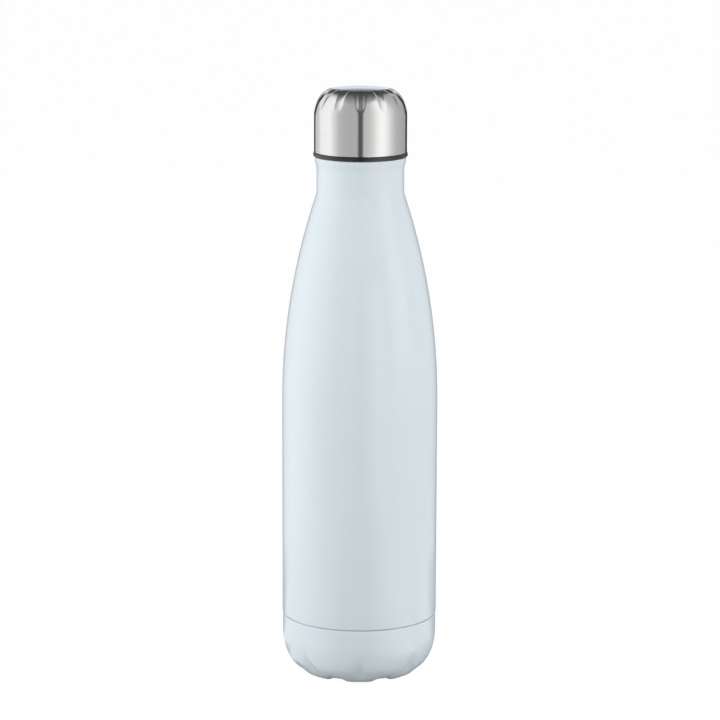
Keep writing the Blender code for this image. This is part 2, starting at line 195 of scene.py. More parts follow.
class NeckSizes(PropertyGroup):
    """Sizes of the threaded plug, the sealing ring and the liner's threaded mouth."""

    pitch: length("Pitch", "Rise of the thread in one turn", 0.0045)
    ridge: length("Ridge", "Height of the thread's ridge", 0.0009)
    ridge_crest: length("Ridge crest", "Width of the ridge at its crest", 0.0007)
    ridge_foot: length("Ridge foot", "Width of the ridge at its foot", 0.0019)
    run_out: length("Run out", "Height over which a thread's end fades", 0.0012)
    plug_thread_foot: length("Plug thread foot", "Plain wall below the plug's thread", 0.0014)
    plug_thread_head: length("Plug thread head", "Plain wall above the plug's thread", 0.0008)
    mouth_plain: length("Mouth plain", "Plain wall below and above the mouth's thread", 0.0020)
    bore_diameter: length("Bore diameter", "Across the liner's mouth", 0.0337)
    plug_diameter: length("Plug diameter", "Across the plug under its thread", 0.0311)
    plug_bore: length("Plug bore", "Across the plug's hollow", 0.0271)
    plug_floor: length("Plug floor", "Thickness of the plug's lower end", 0.0020)
    plug_round: length("Plug round", "Radius on the plug's lower edge", 0.0010)
    rim_foot: length("Rim foot", "Height of the black rim's lower face", 0.2358)
    rim_top: length("Rim top", "Height of the black rim's upper face", 0.2380)
    rim_round: length("Rim round", "Radius on the black rim's edges", 0.00035)
    seat_depth: length("Seat depth", "Depth of the step that the cap's steel edge sits in", 0.0005)
    seat_diameter: length("Seat diameter", "Across the step's inner edge", 0.0402)
    groove_top: length("Groove top", "Height of the seal groove's roof", 0.2373)
    groove_inner: length("Groove inner", "Inner diameter of the seal groove", 0.0317)
    groove_outer: length("Groove outer", "Outer diameter of the seal groove", 0.0389)
    collar_bore: length("Collar bore", "Across the inside of the collar", 0.0321)
    collar_diameter: length("Collar diameter", "Across the outside of the collar", 0.0361)
    seal_inner: length("Seal inner", "Inner diameter of the sealing ring", 0.0323)
    seal_round: length("Seal round", "Radius on the sealing ring's edges", 0.0003)
    liner_wall: length("Liner wall", "Thickness of the liner's steel", 0.00035)
    lip_round: length("Lip round", "Radius under the liner's turned-out lip", 0.0006)
    lip_diameter: length("Lip diameter", "Across the liner's turned-out lip", 0.0397)
    liner_body: length("Liner body", "Across the outside of the liner's straight part", 0.0640)


class Finishes(PropertyGroup):
    """Colours of the bottle's finishes."""

    lacquer: colour("Lacquer", "Pale satin lacquer on the body and base", (0.664, 0.742, 0.784))
    steel: colour("Steel", "Brushed steel of the cap", (0.66, 0.66, 0.655))
    bare_steel: colour("Bare steel", "Steel of the liner and the inner pressings", (0.60, 0.60, 0.59))
    plastic: colour("Plastic", "Black moulded plastic of plug and lid", (0.0075, 0.0075, 0.0085))
    silicone: colour("Silicone", "Milky sealing ring", (0.78, 0.78, 0.75))
    foam: colour("Foam", "Insulating foam in the cap", (0.84, 0.83, 0.78))
    copper: colour("Copper", "Foil round the liner", (0.72, 0.36, 0.22))
    solder: colour("Solder", "Glass bead that closes the vent", (0.12, 0.10, 0.075))
    getter: colour("Getter", "Sintered getter pill", (0.09, 0.09, 0.095))


class Studio(PropertyGroup):
    """Light and camera of the studio."""

    fill: share("Fill", "Strength of the even light from all round", 0.40)
    left_power: number("Left softbox", "Power of the left softbox", 8.75, min=0.0, unit="POWER")
    right_power: number("Right softbox", "Power of the right softbox", 7.5, min=0.0, unit="POWER")
    floor_glow: share("Floor glow", "How far the floor is lifted to white for the camera", 0.96)
    floor_bounce: share("Floor bounce", "How much light the floor throws back up", 0.50)
    dome_radius: length("Dome radius", "Radius of the dome of cards that the metal mirrors", 0.36)
    dome_height: length("Dome height", "Height of the dome's middle", 0.24)
    lens: number("Lens", "Focal length of the camera", 150.52, min=1.0, unit="CAMERA")


class BottleSettings(PropertyGroup):
    """All sizes and finishes of the bottle."""

    body: PointerProperty(type=BodySizes)
    base: PointerProperty(type=BaseSizes)
    cap: PointerProperty(type=CapSizes)
    neck: PointerProperty(type=NeckSizes)
    finish: PointerProperty(type=Finishes)
    studio: PointerProperty(type=Studio)


def put(tree, socket, value):
    """Links a term or another socket to a socket, or sets a plain value on it."""
    if isinstance(value, Term):
        value = value.socket
    if isinstance(value, bpy.types.NodeSocket):
        tree.links.new(value, socket)
    else:
        socket.default_value = value


def feed(tree, node, **values):
    """Puts a value on each named input of a node."""
    for label, value in values.items():
        put(tree, node.inputs[label.replace("_", " ")], value)
    return node


def add_node(tree, kind, **values):
    return feed(tree, tree.nodes.new(kind), **values)


def maths(operation, swapped=False):
    """Method of a term that makes a Math node of it and other values, which come first if swapped."""

    def method(self, *others):
        node = add_node(self.tree, "ShaderNodeMath")
        node.operation = operation
        for socket, value in zip(node.inputs, (*others, self) if swapped else (self, *others)):
            put(self.tree, socket, value)
        return Term(self.tree, node.outputs[0])

    return method


class Term:
    """A number in a node tree. Sums of terms become Math nodes."""

    def __init__(self, tree, socket):
        self.tree = tree
        self.socket = socket

    __add__ = __radd__ = maths("ADD")
    __sub__ = maths("SUBTRACT")
    __rsub__ = maths("SUBTRACT", swapped=True)
    __mul__ = __rmul__ = maths("MULTIPLY")
    __truediv__ = maths("DIVIDE")
    __rtruediv__ = maths("DIVIDE", swapped=True)
    power = maths("POWER")
    root = maths("SQRT")
    size = maths("ABSOLUTE")
    exp = maths("EXPONENT")
    over = maths("MAXIMUM")
    under = maths("MINIMUM")
    above = maths("GREATER_THAN")
    fraction = maths("FRACT")
    wrap = maths("WRAP")
    bearing = maths("ARCTAN2")

    def __neg__(self):
        return self * -1.0

    def eased(self):
        """Soft step from 0 to 1."""
        clamped = self.over(0.0).under(1.0)
        return clamped * clamped * (3.0 - 2.0 * clamped)


def parts(tree, vector):
    node = add_node(tree, "ShaderNodeSeparateXYZ", Vector=vector)
    return [Term(tree, socket) for socket in node.outputs]


def joined(x, y, z):
    return add_node(x.tree, "ShaderNodeCombineXYZ", X=x, Y=y, Z=z).outputs[0]


def arc(centre, run, rise, start, end, steps):
    """Points of an elliptical arc about centre, from start to end in degrees."""
    angles = [radians(start + (end - start) * i / steps) for i in range(steps + 1)]
    return [(centre[0] + run * cos(a), centre[1] + rise * sin(a)) for a in angles]


def along(start, end, steps):
    """Points on a straight line after start, up to and with end."""
    return [
        (start[0] + (end[0] - start[0]) * i / steps, start[1] + (end[1] - start[1]) * i / steps)
        for i in range(1, steps + 1)
    ]


def inside(line, wall):
    """The line moved square to itself by wall, to the axis side of a line that runs down."""
    moved = []
    for i, (r, z) in enumerate(line):
        before = line[max(0, i - 1)]
        after = line[min(len(line) - 1, i + 1)]
        one = Vector((r - before[0], z - before[1]))
        two = Vector((after[0] - r, after[1] - z))
        one = one.normalized() if one.length > 1e-9 else two.normalized()
        two = two.normalized() if two.length > 1e-9 else one
        way = (one + two).normalized()
        grow = wall / max(0.5, way.dot(one))
        moved.append((max(0.0, r + way.y * grow), z - way.x * grow))
    return moved


def shoulder_line(size, body_r, neck_r, fine):
    """Shoulder from the neck down to the straight body: a fillet, then one long arc."""
    drop = body_r - neck_r
    rise = size.neck_start - size.shoulder
    sweep = (drop * drop + rise * rise) / (2 * drop)
    slope = asin(rise / sweep)
    fillet = size.neck_fillet
    centre = (neck_r + fillet, size.neck_start + fillet * tan(slope / 2))
    line = arc(centre, fillet, fillet, 180, 180 + degrees(slope), fine // 4)
    start = degrees(asin((line[-1][1] - size.shoulder) / sweep))
    return line + arc((body_r - sweep, size.shoulder), sweep, sweep, start, 0, fine)[1:]


def set_down(name, data):
    """New object of this data, in the scene."""
    made = bpy.data.objects.new(name, data)
    bpy.context.scene.collection.objects.link(made)
    return made


def kept_mesh(name, mesh):
    """Mesh data of a finished bmesh."""
    data = bpy.data.meshes.new(name)
    mesh.to_mesh(data)
    mesh.free()
    return data


def turned(name, outline, segments):
    """Object of an outline of (radius, height) points turned once round the bottle's axis.

    The outline runs from the axis back to the axis, or closes on itself.
    """
    mesh = bmesh.new()
    angles = [tau * i / segments for i in range(segments)]
    ways = [(cos(a), sin(a)) for a in angles]
    rings = []
    for r, z in outline:
        spots = [(r * c, r * s, z) for c, s in ways] if r > ON_AXIS else [(0.0, 0.0, z)]
        rings.append([mesh.verts.new(spot) for spot in spots])
    pairs = list(zip(rings, rings[1:]))
    if len(rings[0]) > 1:
        pairs.append((rings[-1], rings[0]))
    for one, two in pairs:
        for i in range(segments):
            j = (i + 1) % segments
            corners = [one[i % len(one)], one[j % len(one)], two[j % len(two)], two[i % len(two)]]
            mesh.faces.new(dict.fromkeys(corners)).smooth = True
    bmesh.ops.recalc_face_normals(mesh, faces=mesh.faces)
    data = kept_mesh(name, mesh)
    data.set_sharp_from_angle(angle=radians(SHARP_EDGE))
    return set_down(name, data)


def square_push(push, across, slope, reach):
    """Push square to a round edge: its share of x and y, and its rise."""
    norm = (across * across + slope * slope).root().over(LEAST_DIVISOR)
    return push * across / (norm * reach), push * slope / norm


def pressed(obj, rule, size, material, **derived):
    """Moves an object's points by a rule, gives it its material and keeps it as a plain mesh.

    The rule reads the group's sizes and the derived ones. Each is an input of its geometry tree.
    """
    values = {name: getattr(size, name) for name in size.__annotations__} | derived
    tree = bpy.data.node_groups.new(rule.__name__.replace("_", " ").capitalize(), "GeometryNodeTree")
    sockets = [("Geometry", "OUTPUT", "Geometry"), ("Geometry", "INPUT", "Geometry")]
    sockets += [("Material", "INPUT", "Material")] + [(name, "INPUT", "Float") for name in values]
    for name, way, kind in sockets:
        tree.interface.new_socket(name=name, in_out=way, socket_type=f"NodeSocket{kind}")
    given = add_node(tree, "NodeGroupInput").outputs
    sizes = SimpleNamespace(**{name: Term(tree, given[name]) for name in values})
    x, y, z = parts(tree, add_node(tree, "GeometryNodeInputPosition").outputs[0])
    reach = (x * x + y * y).root().over(LEAST_DIVISOR)
    offset = joined(*rule(sizes, x, y, z, reach))
    move = add_node(tree, "GeometryNodeSetPosition", Geometry=given["Geometry"], Offset=offset)
    real = add_node(tree, "GeometryNodeRealizeInstances", Geometry=move.outputs[0])
    paint = add_node(tree, "GeometryNodeSetMaterial", Geometry=real.outputs[0], Material=given["Material"])
    add_node(tree, "NodeGroupOutput", Geometry=paint.outputs[0])
    modifier = obj.modifiers.new(tree.name, "NODES")
    modifier.node_group = tree
    for socket in tree.interface.items_tree:
        if socket.name in values:
            modifier[socket.identifier] = float(values[socket.name])
        elif socket.name == "Material":
            modifier[socket.identifier] = material
    plain = obj.data
    evaluated = obj.evaluated_get(bpy.context.evaluated_depsgraph_get())
    made = bpy.data.meshes.new_from_object(evaluated)
    obj.modifiers.clear()
    obj.data = made
    bpy.data.meshes.remove(plain)
    made.name = obj.name
    if not made.polygons:
        raise RuntimeError(f"{obj.name} came out of its rule with no faces")


def petal_feet(t, x, y, z, reach):
    """Feet pressed down out of a cup's round edge, with a pointed crease above each foot."""
    half = pi / t.lobes
    off = (y.bearing(x) + pi / 2 - t.lobe_turn).wrap(half, -half)
    across = ((reach - t.round_radius) / t.round_run).over(0.0)
    down = (t.round_top - z) / t.round_height
    place = down.bearing(across)
    spread = (off / t.lobe_spread).size().power(t.lobe_power)
    reached = (pi / 2 - place) / t.foot_span
    foot = (-(spread + reached * reached)).exp()
    side = 2.0 * off * reach / t.crease_width
    rung = (place - t.crease_turn) / t.crease_span
    crease = (-(side * side + rung * rung)).exp()
    press = (t.lobe_lift + t.pad_press) * foot - t.crease_depth * crease
    press = press * reach.above(t.pad_radius) * down.above(0.0)
    sink = -down * t.round_run / t.round_height
    out, rise = square_push(press, across, sink, reach)
    return out * x, out * y, rise.over(-z)


def shoulder_flutes(t, x, y, z, reach):
    """Scoops pressed into a cap's round shoulder, each with a round lower end."""
    half = pi / t.flutes
    off = (y.bearing(x) + pi / 2).wrap(half, -half)
    run = t.cap_radius - t.flat_radius
    across = (reach - t.flat_radius) / run
    up = (z - t.spring) / t.shoulder_drop
    place = up.bearing(across)
    side = 2.0 * off * reach / t.flute_width
    low_end = ((t.flute_foot + t.flute_ramp - place) / t.flute_ramp).over(0.0)
    high_end = ((place - t.flute_head + t.flute_ramp) / t.flute_ramp).over(0.0)
    scoop = 1.0 - side.size().power(t.flute_power) - low_end * low_end - high_end * high_end
    rounded = (scoop * scoop + t.flute_edge * t.flute_edge).root()
    climb = ((place - t.flute_foot) / (t.flute_head - t.flute_foot)).over(0.0).under(1.0)
    fall = t.flute_share + (1.0 - t.flute_share) * climb
    depth = t.flute_depth * fall * (scoop + rounded) / 2.0
    lean = up * run / t.shoulder_drop
    out, rise = square_push(-depth, across, lean, reach)
    return out * x, out * y, rise


def screw_thread(t, x, y, z, reach):
    """A screw thread's ridge on a round wall: outward where the ridge is positive, else inward."""
    rung = (z / t.pitch - y.bearing(x) / tau + t.phase).fraction()
    away = (rung - 0.5).size() * t.pitch
    ridge = ((t.ridge_foot / 2.0 - away) / (t.ridge_foot / 2.0 - t.ridge_crest / 2.0)).eased()
    fade = ((z - t.start) / t.run_out).eased() * ((t.end - z) / t.run_out).eased()
    on_wall = 1.0 - (reach - t.wall_radius).size().above(WALL_TOUCH)
    out = t.ridge * ridge * fade * on_wall / reach
    return out * x, out * y, 0.0


class Recipe:
    """A material in the making: its shader, and nodes that are added and linked one by one."""

    def __init__(self, name, **constants):
        self.material = bpy.data.materials.new(name)
        self.material.use_nodes = True
        self.tree = self.material.node_tree
        self.shader = self.tree.nodes["Principled BSDF"]
        feed(self.tree, self.shader, **constants)
        self.place = add_node(self.tree, "ShaderNodeTexCoord").outputs["Object"]
        self.x, self.y, self.z = parts(self.tree, self.place)
        self.reach = (self.x * self.x + self.y * self.y).root().over(LEAST_REACH)

    def noise(self, scale, detail=2.0, roughness=0.5, vector=None):
        node = add_node(
            self.tree, "ShaderNodeTexNoise", Scale=scale, Detail=detail, Roughness=roughness,
            Vector=vector or self.place,
        )
        return Term(self.tree, node.outputs["Fac"])

    def cells(self, scale):
        node = add_node(self.tree, "ShaderNodeTexVoronoi", Scale=scale, Vector=self.place)
        return Term(self.tree, node.outputs["Distance"])

    def round_streaks(self, fineness):
        """Coordinates that hardly change round the axis and change fast along a turned wall."""
        return joined(self.x / self.reach, self.y / self.reach, (self.z - self.reach) * fineness)

    def draw_lines(self, fineness):
        """Coordinates that hardly change along a drawn wall and change fast round it."""
        across, away = self.x / self.reach * fineness, self.y / self.reach * fineness
        return joined(across, away, self.z * DRAW_STRETCH)

    def tint(self, tone, low, high, mix):
        """Colour that runs from one shade of a tone to another."""
        node = add_node(self.tree, "ShaderNodeMix")
        node.data_type = "RGBA"
        for i, value in zip(MIX_INPUTS, (mix, (*shade(tone, low), 1.0), (*shade(tone, high), 1.0))):
            put(self.tree, node.inputs[i], value)
        feed(self.tree, self.shader, Base_Color=node.outputs[2])

    def rough(self, term):
        feed(self.tree, self.shader, Roughness=term)

    def bump(self, height, strength, distance):
        """Fine relief, the last step of a recipe. Returns the material."""
        node = add_node(self.tree, "ShaderNodeBump", Height=height, Strength=strength, Distance=distance)
        feed(self.tree, self.shader, Normal=node.outputs[0])
        return self.material


def shade(tone, factor):
    return tuple(min(1.0, value * factor) for value in tone)


def satin_lacquer(name, tone):
    """Sprayed satin lacquer: faint clouding, fine flecks and a shallow orange-peel skin."""
    recipe = Recipe(name, IOR=1.5)
    cloud = recipe.noise(26.0, 3.0)
    fleck = recipe.noise(2600.0, 1.0)
    peel = recipe.noise(620.0, 2.0, 0.45)
    recipe.tint(tone, 0.975, 1.02, cloud * 0.55 + fleck * 0.45)
    recipe.rough(0.24 + (cloud - 0.5) * 0.08 + (peel - 0.5) * 0.06)
    return recipe.bump(peel * 0.8 + fleck * 0.2, 0.16, 0.00012)


def brushed_steel(name, tone):
    """Steel brushed round the axis: fine streaks that spread the gloss up and down."""
    recipe = Recipe(name, Metallic=1.0, Anisotropic=0.80, Anisotropic_Rotation=0.25)
    tangent = add_node(recipe.tree, "ShaderNodeTangent")
    tangent.direction_type = "RADIAL"
    tangent.axis = "Z"
    feed(recipe.tree, recipe.shader, Tangent=tangent.outputs[0])
    coarse = recipe.noise(3.0, 4.0, 0.6, recipe.round_streaks(CAP_GRAIN))
    fine = recipe.noise(3.0, 3.0, 0.6, recipe.round_streaks(CAP_GRAIN * 4.0))
    smudge = recipe.noise(60.0)
    streak = coarse * 0.55 + fine * 0.45
    recipe.tint(tone, 0.94, 1.05, (streak - 0.5) * 1.6 + 0.5)
    polish = ((recipe.z - (cap_high.z - POLISH_DEPTH)) / POLISH_EDGE).eased()
    recipe.rough((0.17 + (streak - 0.5) * 0.10 + (smudge - 0.5) * 0.03) * (1.0 - 0.6 * polish))
    return recipe.bump(streak, 0.03, 0.00003)


def drawn_steel(name, tone, gloss):
    """Bare drawn steel: faint lines along the draw and a polished skin."""
    recipe = Recipe(name, Metallic=1.0)
    lines = recipe.noise(4.0, 3.0, 0.6, recipe.draw_lines(70.0))
    cloud = recipe.noise(90.0, 3.0)
    recipe.tint(tone, 0.93, 1.06, lines * 0.6 + cloud * 0.4)
    recipe.rough(gloss + (lines - 0.5) * 0.12 + (cloud - 0.5) * 0.08)
    return recipe.bump(lines, 0.06, 0.00004)


def moulded_plastic(name, tone):
    """Black moulded plastic: a fine spark-eroded grain."""
    recipe = Recipe(name, IOR=1.58)
    grain = recipe.noise(3800.0, 2.0, 0.6)
    flow = recipe.noise(150.0)
    recipe.tint(tone, 0.8, 1.3, flow * 0.6 + grain * 0.4)
    recipe.rough(0.22 + (grain - 0.5) * 0.10 + (flow - 0.5) * 0.06)
    return recipe.bump(grain, 0.08, 0.00005)


def milky_silicone(name, tone):
    """Milky silicone rubber: soft, slightly see-through and dusty."""
    recipe = Recipe(name, Subsurface_Weight=0.2, Subsurface_Scale=0.001, IOR=1.41)
    dust = recipe.noise(1500.0, 3.0, 0.6)
    cloud = recipe.noise(220.0)
    recipe.tint(tone, 0.95, 1.03, cloud * 0.6 + dust * 0.4)
    recipe.rough(0.52 + (dust - 0.5) * 0.16)
    return recipe.bump(dust, 0.08, 0.00004)


def blown_foam(name, tone):
    """Blown foam: small open cells."""
    recipe = Recipe(name)
    cell = recipe.cells(1300.0)
    cloud = recipe.noise(300.0)
    recipe.tint(tone, 0.82, 1.04, cell * 0.8 + cloud * 0.3)
    recipe.rough(0.88 + (cloud - 0.5) * 0.1)
    return recipe.bump(cell, 0.6, 0.0003)


def wrinkled_copper(name, tone):
    """Copper foil laid on by hand: soft wrinkles and darker patches."""
    recipe = Recipe(name, Metallic=1.0)
    wrinkle = recipe.noise(160.0, 4.0, 0.6)
    patch = recipe.noise(45.0)
    recipe.tint(tone, 0.80, 1.10, patch * 0.7 + wrinkle * 0.3)
    recipe.rough(0.26 + (wrinkle - 0.5) * 0.2 + (patch - 0.5) * 0.1)
    return recipe.bump(wrinkle, 0.5, 0.0004)


def fused_bead(name, tone):
    """Fused glass solder: dark, glossy and unevenly flowed."""
    recipe = Recipe(name, IOR=1.6)
    flow = recipe.noise(500.0, 3.0, 0.55)
    grit = recipe.noise(2600.0, 1.0)
    recipe.tint(tone, 0.7, 1.5, flow * 0.8 + grit * 0.2)
    recipe.rough(0.22 + (flow - 0.5) * 0.2)
    return recipe.bump(flow, 0.3, 0.0002)


def sintered_alloy(name, tone):
    """Pressed and sintered metal powder: matt, dark and grainy."""
    recipe = Recipe(name, Metallic=0.35)
    grit = recipe.cells(5200.0)
    patch = recipe.noise(700.0)
    recipe.tint(tone, 0.7, 1.5, grit * 0.6 + patch * 0.4)
    recipe.rough(0.72 + (patch - 0.5) * 0.2)
    return recipe.bump(grit, 0.5, 0.0001)


def settings():
    return bpy.context.scene.bottle


def body_line(size):
    """Outer line of the body, from the neck's edge down to the step inside the base cup."""
    neck_r = size.neck_diameter / 2
    body_r = size.diameter / 2
    line = [(neck_r + size.flare, size.top)]
    for i in range(FLARE_STEPS + 1):
        swell = size.flare * (1 + cos(pi * i / FLARE_STEPS)) / 2
        line.append((neck_r + swell, size.top - size.land - size.flare_length * i / FLARE_STEPS))
    line += shoulder_line(size, body_r, neck_r, 56)
    rnd = size.seam_round
    line += along(line[-1], (body_r, size.seam + rnd), 12)
    line += arc((body_r - rnd, size.seam + rnd), rnd, rnd, 0, -90, 6)[1:]
    line += [(size.spigot_diameter / 2, size.seam), (size.spigot_diameter / 2, size.foot)]
    return line


class BOTTLE_OT_body(Operator):
    """Make the lacquered outer body with its flared neck and its step for the base cup"""

    bl_idname = "bottle.body"
    bl_label = "Lacquered Body"

    def execute(self, context):
        size = settings().body
        line = body_line(size)
        made = turned("lacquered_body", line + inside(line, size.wall)[::-1], BODY_SIDES)
        made.data.materials.append(satin_lacquer("satin_lacquer", settings().finish.lacquer))
        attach(made, "bottle")
        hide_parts("outer_shell")
        return {"FINISHED"}


def base_lines(size):
    """Outer and inner line of the base cup before its feet are pressed, from the rim to the axis."""
    base_r = size.diameter / 2
    round_r = base_r - size.round_run
    round_top = size.lobe_lift + size.round_height
    pad_r = round_r - size.pad_width
    rim = size.rim_round
    wall = along((base_r, size.height - rim), (base_r, round_top), 4)[:-1]
    wall += arc((round_r, round_top), size.round_run, -size.round_height, 0, 90, 40)
    wall += along((round_r, size.lobe_lift), (pad_r, size.lobe_lift), 4)
    wall += arc((0.0, size.lobe_lift), pad_r, size.dish, 0, 90, 18)[1:]
    outer = arc((base_r - rim, size.height - rim), rim, rim, 90, 0, 4) + wall
    inner = [(base_r - size.wall, size.height)] + inside(wall, size.wall)
    inner[-1] = (0.0, inner[-1][1])
    outer[-1] = (0.0, outer[-1][1])
    return outer, inner


class BOTTLE_OT_base(Operator):
    """Make the base cup and press its feet and creases by rule"""

    bl_idname = "bottle.base"
    bl_label = "Petalled Base"

    def execute(self, context):
        size = settings().base
        outer, inner = base_lines(size)
        made = turned("petal_base", inner[::-1] + outer, size.lobes * LOBE_SIDES)
        lacquer = satin_lacquer("base_lacquer", settings().finish.lacquer)
        round_r = size.diameter / 2 - size.round_run
        pressed(
            made, petal_feet, size, lacquer, round_radius=round_r,
            pad_radius=round_r - size.pad_width - PAD_SLACK, round_top=size.lobe_lift + size.round_height,
        )
        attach(made, "bottle")
        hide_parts("base_cup")
        return {"FINISHED"}


def cap_lines(size):
    """Outer and inner line of the cap's shell before its flutes are pressed, from the axis down."""
    cap_r = size.diameter / 2
    flat_r = size.flat_diameter / 2
    spring = size.top - size.crown - size.shoulder_drop
    hem = size.hem_round
    bend = arc((flat_r, spring), cap_r - flat_r, size.shoulder_drop, CROWN_EDGE, 0, 52)
    sag = size.top - bend[0][1]
    reach = bend[0][0]
    shares = [i / CROWN_STEPS for i in range(CROWN_STEPS)]
    wall = [(reach * part, size.top - sag * part ** 2) for part in shares] + bend
    wall += along((cap_r, spring), (cap_r, size.foot + hem), 6)
    outer = wall + arc((cap_r - hem, size.foot + hem), hem, hem, 0, -90, 5)[1:]
    inner = inside(wall[:-1], size.wall)[::3] + [(cap_r - size.wall, size.foot)]
    inner[0] = (0.0, inner[0][1])
    return outer, inner


class BOTTLE_OT_cap(Operator):
    """Make the cap's brushed shell and press its flutes by rule"""

    bl_idname = "bottle.cap"
    bl_label = "Fluted Cap"

    def execute(self, context):
        size = settings().cap
        outer, inner = cap_lines(size)
        made = turned("fluted_cap", outer + inner[::-1], size.flutes * FLUTE_SIDES)
        steel = brushed_steel("brushed_steel", settings().finish.steel)
        pressed(
            made, shoulder_flutes, size, steel, flat_radius=size.flat_diameter / 2,
            cap_radius=size.diameter / 2, spring=size.top - size.crown - size.shoulder_drop,
        )
        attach(made, "cap")
        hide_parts("cap_shell")
        return {"FINISHED"}


def plug_line(size):
    """Line of the plug from its hollow over the collar and the black rim to its lower end."""
    plug_r = size.plug_diameter / 2
    rim_r, rnd = plug_high.x, size.rim_round
    seat = size.rim_top - size.seat_depth
    foot = plug_low.z
    floor = foot + size.plug_floor
    corners = (
        (0.0, floor), (size.plug_bore, floor), (size.plug_bore, size.rim_top),
        (size.collar_bore, size.rim_top), (size.collar_bore, plug_high.z),
        (size.collar_diameter, plug_high.z), (size.collar_diameter, size.rim_top),
        (size.seat_diameter, size.rim_top), (size.seat_diameter, seat),
    )
    line = [(across / 2, z) for across, z in corners]
    line += arc((rim_r - rnd, seat - rnd), rnd, rnd, 90, 0, 6)
    line += arc((rim_r - rnd, size.rim_foot + rnd), rnd, rnd, 0, -90, 6)
    groove_r, wall_r = size.groove_outer / 2, size.groove_inner / 2
    line += [(groove_r, size.rim_foot), (groove_r, size.groove_top), (wall_r, size.groove_top)]
    line += [(wall_r, size.rim_foot), (plug_r, size.rim_foot)]
    end = size.plug_round
    line += along((plug_r, size.rim_foot), (plug_r, foot + end), 96)
    line += arc((plug_r - end, foot + end), end, end, 0, -90, 5)[1:]
    return line + [(0.0, foot)]


class BOTTLE_OT_plug(Operator):
    """Make the black plug with its rim and raise its thread by rule"""

    bl_idname = "bottle.plug"
    bl_label = "Threaded Plug"

    def execute(self, context):
        size = settings().neck
        made = turned("threaded_plug", plug_line(size), PLUG_SIDES)
        plastic = moulded_plastic("moulded_plastic", settings().finish.plastic)
        pressed(
            made, screw_thread, size, plastic, wall_radius=size.plug_diameter / 2, phase=0.0,
            start=plug_low.z + size.plug_thread_foot, end=size.rim_foot - size.plug_thread_head,
        )
        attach(made, "cap")
        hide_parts("cap_plug")
        return {"FINISHED"}


class BOTTLE_OT_seal(Operator):
    """Make the sealing ring in its groove under the black rim"""

    bl_idname = "bottle.seal"
    bl_label = "Sealing Ring"

    def execute(self, context):
        size = settings().neck
        rnd = size.seal_round
        low, high = seal_low.z + rnd, seal_high.z - rnd
        inner, outer = size.seal_inner / 2 + rnd, seal_high.x - rnd
        line = []
        for start, r, z in ((90, outer, high), (0, outer, low), (-90, inner, low), (180, inner, high)):
            line += arc((r, z), rnd, rnd, start, start - 90, 5)
        made = turned("sealing_ring", line, SEAL_SIDES)
        made.data.materials.append(milky_silicone("milky_silicone", settings().finish.silicone))
        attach(made, "seal")
        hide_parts("cap_seal")
        return {"FINISHED"}


def liner_line(neck, body):
    """Outer line of the liner, from the edge of its lip down to its lower edge."""
    bore_r = neck.bore_diameter / 2 + neck.liner_wall
    under = liner_high.z - neck.liner_wall
    rnd = neck.lip_round
    line = [(neck.lip_diameter / 2, under)]
    line += arc((bore_r + rnd, under - rnd), rnd, rnd, 90, 180, 6)
    shoulder = shoulder_line(body, neck.liner_body / 2, bore_r, 40)
    line += along(line[-1], shoulder[0], 90)[:-1] + shoulder
    return line + along(shoulder[-1], (neck.liner_body / 2, liner_low.z), 4)


class BOTTLE_OT_liner(Operator):
    """Make the steel liner with its turned-out lip and raise the mouth's thread by rule"""

    bl_idname = "bottle.liner"
    bl_label = "Steel Liner"

    def execute(self, context):
        neck, body = settings().neck, settings().body
        line = liner_line(neck, body)
        made = turned("steel_liner", line + inside(line, neck.liner_wall)[::-1], LINER_SIDES)
        steel = drawn_steel("polished_liner", settings().finish.bare_steel, 0.24)
        pressed(
            made, screw_thread, neck, steel, wall_radius=neck.bore_diameter / 2, ridge=-neck.ridge,
            phase=0.5, start=body.neck_start + neck.mouth_plain, end=liner_high.z - neck.mouth_plain,
        )
        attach(made, "bottle")
        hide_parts("inner_liner")
        return {"FINISHED"}


class BOTTLE_OT_hidden(Operator):
    """Give the pieces inside the walls and the cap their finishes"""

    bl_idname = "bottle.hidden"
    bl_label = "Hidden Pieces"

    def execute(self, context):
        tone = settings().finish
        finishes = {
            "outer_bottom": drawn_steel("pressed_steel", tone.bare_steel, 0.33),
            "liner_bottom": drawn_steel("liner_floor_steel", tone.bare_steel, 0.27),
            "getter_cup": drawn_steel("nickel_cup", shade(tone.bare_steel, 0.86), 0.38),
            "getter_pill": sintered_alloy("sintered_alloy", tone.getter),
            "vacuum_seal": fused_bead("fused_bead", tone.solder),
            "copper_foil": wrinkled_copper("wrinkled_copper", tone.copper),
            "cap_inner_lid": moulded_plastic("lid_plastic", tone.plastic),
            "cap_foam": blown_foam("blown_foam", tone.foam),
        }
        for node, material in finishes.items():
            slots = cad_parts[node].data.materials
            slots.clear()
            slots.append(material)
        return {"FINISHED"}


# Cards of the studio dome as (degrees from the front, level), and the height in degrees where they end
DOME_CARDS = (
    (-180, 0.95), (-150, 0.90), (-128, 0.80), (-114, 1.25), (-81, 1.34), (-53, 0.70), (-40, 0.63),
    (-24, 0.61), (-6, 0.63), (6, 0.72), (18, 0.76), (27, 0.86), (35, 1.06), (43, 1.27), (52, 1.38),
    (60, 1.36), (68, 1.22), (77, 1.00), (87, 0.80), (98, 0.66), (110, 0.61), (124, 0.58), (137, 0.48),
    (150, 0.90), (180, 0.95),
)
DOME_EDGES = (
    (-180, 10.5), (-176, 11), (-170, 17), (-160, 24), (-142, 38), (-120, 45), (-90, 47), (-45, 44), (0, 42),
    (45, 50), (90, 55), (120, 52), (142, 41), (160, 24), (170, 17), (176, 11), (180, 10.5),
)

# Share of their height over which the cards fade into the ceiling
CARD_FADE = 0.28

